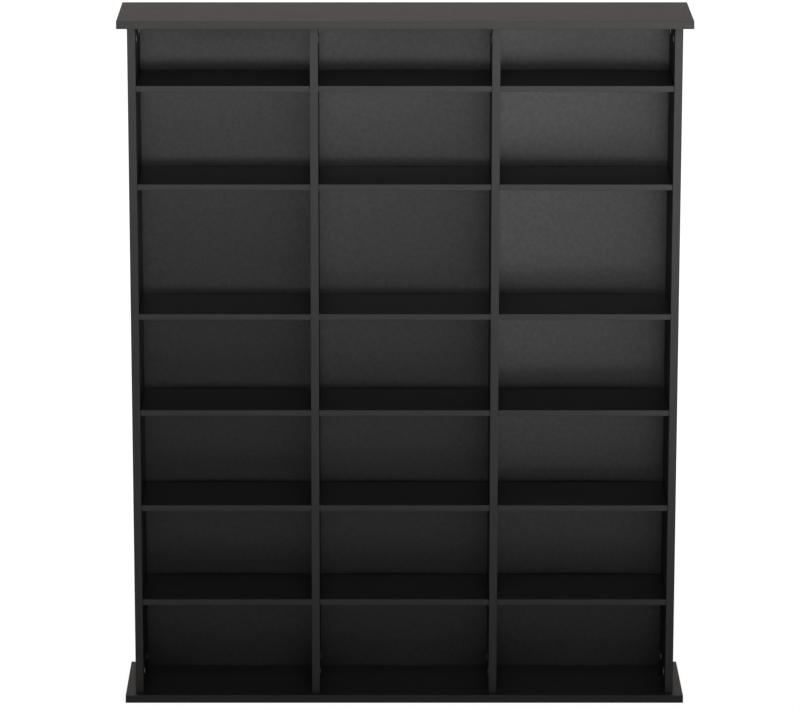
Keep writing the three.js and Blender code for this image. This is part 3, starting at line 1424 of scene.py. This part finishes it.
@dataclass
class CamSet:
    """All cam fittings, placed from their CAD nodes."""

    camming: Camming = field(default_factory=Camming)
    board: float = 17.5 * MM
    shelf: float = 13 * MM
    grip: float = 11 * MM
    shelf_grip: float = 8 * MM

    def build(self, shop: Workshop, uprights: Sequence[Upright]) -> None:
        """Makes the fittings of the uprights and of the fixed shelves.

        Args:
            shop: what makes the pieces.
            uprights: the four uprights.
        """
        cams = self.camming
        large = CamFitting(cams.diameter, self.board, cams.floor, cams.setback,
                           self.grip).shape(shop)
        small = CamFitting(cams.shelf_diameter, self.shelf, cams.shelf_floor,
                           cams.shelf_setback, self.shelf_grip).shape(shop)
        front = front_line()
        for upright in uprights:
            low, high = node_box(upright.node)
            face = upright.cam_face
            mouth = high[0] if face > 0 else low[0]
            for word, end, way in (("top", high[2], 1), ("base", low[2], -1)):
                for line, inset in zip(("front", "rear"), cams.insets):
                    place = (mouth, front + inset, end - way * cams.setback)
                    self.fit(shop, f"{upright.node}_cam_{word}_{line}", large, (face, 0, 0),
                             (0, 0, way), place)
        for column in Column:
            node = Shelf(column, Row.ROW_3).node
            low, high = node_box(node)
            for word, end, way in (("left", low[0], -1), ("right", high[0], 1)):
                for line, inset in zip(("front", "rear"), cams.insets):
                    place = (end - way * cams.shelf_setback, front + inset, low[2])
                    self.fit(shop, f"{node}_cam_{word}_{line}", small, (0, 0, -1),
                             (way, 0, 0), place)

    def fit(self, shop: Workshop, node: str, shape: Shape, mouth: tuple[int, int, int],
            bolt: tuple[int, int, int], place: Sequence[float]) -> None:
        """Places one fitting.

        Args:
            shop: what makes the piece.
            node: the CAD node that it stands for.
            shape: the fitting about its own origin.
            mouth: the way that the cam's face looks.
            bolt: the way that the bolt points.
            place: the middle of the pocket's mouth.
        """
        across = np.cross(bolt, mouth)
        shop.add(f"{node}_fitting", shape.placed(across, bolt, mouth, place),
                 shop.finishes.zinc, CARCASS, Slot.ZINC, node)


@dataclass
class ShelfPin:
    """A steel pin that is pushed into an upright and carries the corner of a loose shelf. It
    is made lying in its hole along +Z, with the upright's face on z = 0."""

    UPRIGHTS = ("left_side_panel", "left_divider", "right_divider", "right_side_panel")

    diameter: float = 4.9 * MM
    shoulder: float = 5.4 * MM
    proud: float = 8 * MM
    depth: float = 8 * MM
    ease: float = 0.5 * MM
    gap: float = 0.05 * MM
    lip: float = 0.15 * MM
    sides: int = 24

    def shape(self) -> Shape:
        """A turned profile: an eased tail in the hole, a thin shoulder at the face, and the
        bearing end with an eased rim.

        Returns:
            The shape, about its own origin.
        """
        shank, bearing = self.diameter / 2, self.shoulder / 2
        return turned([
            (shank - self.ease, -self.depth), (shank, -self.depth + 2 * self.ease),
            (shank, self.gap), (bearing - self.lip, self.gap), (bearing, self.gap + self.lip),
            (bearing, self.proud - self.ease),
            (bearing - 0.3 * self.ease, self.proud - 0.3 * self.ease),
            (bearing - self.ease, self.proud)], self.sides)

    def build(self, shop: Workshop, shelf: Shelf, pinning: Pinning) -> None:
        """Makes the four pins under one loose shelf.

        Args:
            shop: what makes the pieces.
            shelf: the shelf that they carry.
            pinning: the lines and rows of the pin holes.
        """
        shape = self.shape()
        left = node_box(self.UPRIGHTS[shelf.column.value])
        right = node_box(self.UPRIGHTS[shelf.column.value + 1])
        front = left[0][1]
        height = pinning.height(shelf.row.value)
        for word, face, way in (("left", left[1][0], 1), ("right", right[0][0], -1)):
            for line, inset in zip(("front", "rear"), pinning.insets):
                name = f"{shelf.column.word}_{shelf.row.word}_pin_{word}_{line}"
                placed = shape.placed((0, way, 0), (0, 0, 1), (way, 0, 0),
                                      (face, front + inset, height))
                shop.add(name, placed, shop.finishes.nickel, CARCASS, Slot.ZINC)


@dataclass(frozen=True)
class Softbox:
    """A rectangular lamp with a soft edge."""

    name: str
    place: tuple[float, float, float]
    target: tuple[float, float, float]
    width: float
    height: float
    watts: float
    colour: Colour = (1.0, 1.0, 1.0)

    def build(self) -> None:
        """Makes the lamp, which the camera doesn't see."""
        lamp = bpy.data.lights.new(self.name, "AREA")
        lamp.shape = "RECTANGLE"
        lamp.size = self.width
        lamp.size_y = self.height
        lamp.energy = self.watts
        lamp.color = self.colour
        made = bpy.data.objects.new(self.name, lamp)
        made.location = self.place
        way = Vector(self.target) - Vector(self.place)
        made.rotation_euler = way.to_track_quat("-Z", "Y").to_euler()
        made.visible_camera = False
        bpy.context.scene.collection.objects.link(made)


@dataclass(frozen=True)
class FloorGlow:
    """What the pale floor shows to light rays: painted shade, which is darker paint in front of
    the tower that the backs reflect, and a painted glow that depends on the place and lights
    the tower though the floor is no lamp. Each reach is a pair of lengths in metres between
    which a part comes in or goes out."""

    # painted shade: the colour of a darker band painted on the floor in front of the tower, which
    # the backs reflect
    dark_paint: Colour = (0.2, 0.2, 0.2)
    dark_start: tuple[float, float] = (1.5, 2.7)
    dark_end: tuple[float, float] = (4.8, 6.5)
    far: float = 2.7
    far_start: tuple[float, float] = (8.0, 12.0)
    patch: float = 1.1
    patch_steps: tuple[tuple[float, float, float], ...] = (
        (1.3, 1.9, 2.8), (-0.5, 3.6, 4.6), (0.4, 5.0, 6.5), (-1.2, 9.0, 13.0))
    patch_edge: tuple[float, float] = (0.2, 0.56)
    patch_lean: float = 0.04
    sides: float = 0.8
    sides_start: tuple[float, float] = (0.6, 1.8)
    sides_end: tuple[float, float] = (7.0, 11.0)
    sides_lean: float = 0.5
    front_edge: tuple[float, float] = (0.0, 1.0)

    def maps(self, desk: NodeDesk) -> tuple[Signal, Signal]:
        """Where painted shade darkens the floor, and how strongly its painted glow shines.

        The painted glow is a far field all round, a nearer field beside and behind the tower,
        and a patch in front of the right column.

        Args:
            desk: the floor's material.

        Returns:
            The share of painted shade, and the strength of the painted glow.
        """
        length = desk.node("ShaderNodeVectorMath", {"operation": "LENGTH"}, {0: desk.place})
        axes = desk.node("ShaderNodeSeparateXYZ", None, {"Vector": desk.place})
        away = Signal(desk, length.outputs["Value"])
        across, along = (Signal(desk, axes.outputs[name]) for name in "XY")
        in_front = (0.0 - along).between(*self.front_edge)
        # painted shade: the floor is painted darker in a band in front of the tower, which the
        # backs reflect
        dark = (away.between(*self.dark_start) - away.between(*self.dark_end)) * in_front
        # painted glow: the far field, the side field and the patch make the floor glow, though it
        # is no lamp
        first, *others = ((share * away.between(*reach)) for share, *reach in self.patch_steps)
        rise = sum(others, start=first)
        lean = across - self.patch_lean * away
        # painted glow: a glowing patch on the floor in front of the right column, whose
        # reflection brightens that column's back
        patch = self.patch * rise * lean.between(*self.patch_edge) * in_front
        spread = (abs(across) + self.sides_lean * along).between(*self.sides_start)
        sides = self.sides * spread * (1.0 - away.between(*self.sides_end))
        return dark, self.far * away.between(*self.far_start) + sides + patch


@dataclass
class Studio:
    """A pale floor with painted shade and a painted glow, soft lamps, a pale world and the camera
    of the photograph.
    """

    floor_size: float = 60.0
    floor_points: int = 13
    floor_colour: Colour = (0.8, 0.8, 0.8)
    floor_unevenness: float = 1.04
    floor_clouds: float = 0.8
    floor_show: float = 0.8
    floor_white: float = 1.215
    floor_glow: FloorGlow = field(default_factory=FloorGlow)
    ambient: float = 0.02
    camera_place: tuple[float, float, float] = (-0.0504, -9.5, 3.216)
    camera_pitch: float = 0.2379
    camera_reach: tuple[float, float] = (0.1, 100.0)
    focal_pixels: float = 4401.7
    frame_width: float = 800.0
    shift_pixels: tuple[float, float] = (18.15, -60.0)
    sensor: float = 36.0
    lamps: tuple[Softbox, ...] = (
        Softbox("front_high", (0.0, -2.4, 3.3), (0.0, 0.0, 1.1), 1.6, 1.2, 20.0),
        Softbox("middle_strip", (0.0, -4.5, 2.1), (0.0, 0.0, 1.3), 1.7, 0.9, 5.0),
        Softbox("right_strip", (1.7, -4.5, 2.1), (0.2, 0.0, 1.3), 1.7, 0.9, 6.0),
        Softbox("left_wall", (-5.0, -6.0, 2.2), (-0.2, 0.0, 1.0), 2.5, 3.0, 28.0),
        Softbox("front_wall", (0.0, -11.5, 3.2), (0.0, 0.0, 1.4), 8.0, 2.2, 18.0),
        Softbox("rear_wall", (0.0, 7.0, 2.8), (0.0, 0.0, 1.5), 8.0, 2.0, 38.0, (1.0, 0.9, 0.87)),
        Softbox("overhead", (0.0, 0.6, 4.6), (0.0, 0.6, 1.0), 3.0, 3.0, 16.0),
    )

    def build(self) -> None:
        """Makes the floor, the lamps, the world and the camera."""
        self.make_floor()
        for lamp in self.lamps:
            lamp.build()
        self.make_world()
        self.make_camera()
        bpy.context.scene.view_settings.view_transform = "Standard"

    def make_floor(self) -> None:
        """A flat grid that fades to white in the camera's eyes but keeps a soft shadow."""
        half = self.floor_size / 2
        line = np.linspace(-half, half, self.floor_points)
        across, along = np.meshgrid(line, line, indexing="ij")
        points = np.stack([across, along, np.zeros_like(across)], axis=-1).reshape(-1, 3)
        quads = grid_quads(np.arange(across.size).reshape(across.shape))
        mesh = bpy.data.meshes.new("floor")
        mesh.from_pydata(points.tolist(), [], quads.tolist())
        floor = bpy.data.objects.new("floor", mesh)
        bpy.context.scene.collection.objects.link(floor)
        mesh.materials.append(self.floor_material())

    def floor_material(self) -> bpy.types.Material:
        """The floor's finish: paint with painted shade and a painted glow to light rays, and
        mostly white to the camera.

        Returns:
            The material.
        """
        desk = NodeDesk(bpy.data.materials.new("pale_floor"))
        clouds = desk.noise(desk.place, self.floor_clouds, 2.0)
        pale = desk.blend(clouds, self.floor_colour,
                          shaded(self.floor_colour, self.floor_unevenness))
        dark, glow = self.floor_glow.maps(desk)
        paint = desk.node("ShaderNodeBsdfDiffuse", None,
                          {"Color": desk.blend(dark, pale, self.floor_glow.dark_paint)})
        # painted glow: the floor emits light by place to every ray but the camera's, so it lights
        # the tower though it is no lamp
        painted_glow, white = (desk.node("ShaderNodeEmission", None,
                                   {"Color": WHITE, "Strength": strength})
                         for strength in (glow, self.floor_white))
        lit_paint_and_painted_glow = desk.node("ShaderNodeAddShader", None,
                        {0: paint.outputs[0], 1: painted_glow.outputs[0]})
        path = desk.node("ShaderNodeLightPath")
        share = Signal(desk, path.outputs["Is Camera Ray"]) * self.floor_show
        mix = desk.node("ShaderNodeMixShader", None,
                        {0: share, 1: lit_paint_and_painted_glow.outputs[0], 2: white.outputs[0]})
        desk.node("ShaderNodeOutputMaterial", None, {"Surface": mix.outputs[0]})
        return desk.owner

    def make_world(self) -> None:
        """White to the camera, and an even grey light to everything else."""
        world = bpy.data.worlds.new("studio")
        bpy.context.scene.world = world
        desk = NodeDesk(world)
        path = desk.node("ShaderNodeLightPath")
        grey, white = (desk.node("ShaderNodeBackground", None,
                                 {"Color": WHITE, "Strength": strength})
                       for strength in (self.ambient, 1.0))
        mix = desk.node("ShaderNodeMixShader", None, {0: path.outputs["Is Camera Ray"],
                                                      1: grey.outputs[0], 2: white.outputs[0]})
        desk.node("ShaderNodeOutputWorld", None, {"Surface": mix.outputs[0]})

    def make_camera(self) -> None:
        """The camera of the photograph, from pixel sizes of a frame 800 wide."""
        lens = bpy.data.cameras.new("camera")
        lens.sensor_width = self.sensor
        lens.lens = self.focal_pixels / self.frame_width * self.sensor
        lens.shift_x = self.shift_pixels[0] / self.frame_width
        lens.shift_y = self.shift_pixels[1] / self.frame_width
        lens.clip_start, lens.clip_end = self.camera_reach
        made = bpy.data.objects.new("camera", lens)
        made.location = self.camera_place
        made.rotation_euler = (math.pi / 2 - self.camera_pitch, 0.0, 0.0)
        bpy.context.scene.collection.objects.link(made)
        bpy.context.scene.camera = made


@dataclass
class Tower:
    """The whole tower, built in the order in which it is put together."""

    uprights: tuple[Upright, ...] = (
        Upright("left_side_panel", (1,), 1),
        Upright("left_divider", (-1, 1), 1),
        Upright("right_divider", (-1, 1), -1),
        Upright("right_side_panel", (-1,), -1),
    )
    end_boards: tuple[EndBoard, ...] = (EndBoard("base_board", 1), EndBoard("top_board", -1))
    cams: CamSet = field(default_factory=CamSet)
    pin: ShelfPin = field(default_factory=ShelfPin)
    pinning: Pinning = field(default_factory=Pinning)

    def build(self, shop: Workshop) -> None:
        """Makes every piece.

        Args:
            shop: what makes the pieces.
        """
        for board in self.end_boards:
            board.build(shop)
        for upright in self.uprights:
            upright.build(shop)
        self.cams.build(shop, self.uprights)
        for column in Column:
            BackSheet(column).build(shop)
            for row in Row:
                shelf = Shelf(column, row)
                shelf.build(shop)
                if not row.is_fixed:
                    self.pin.build(shop, shelf, self.pinning)


def main() -> None:
    """Loads the frame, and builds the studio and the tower."""
    logging.basicConfig(level=logging.INFO, format="%(name)s %(message)s")
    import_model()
    Studio().build()
    shop = Workshop(Finishes.made())
    Tower().build(shop)
    LOG.info("%d pieces", shop.count)


if __name__ == "__main__":
    main()
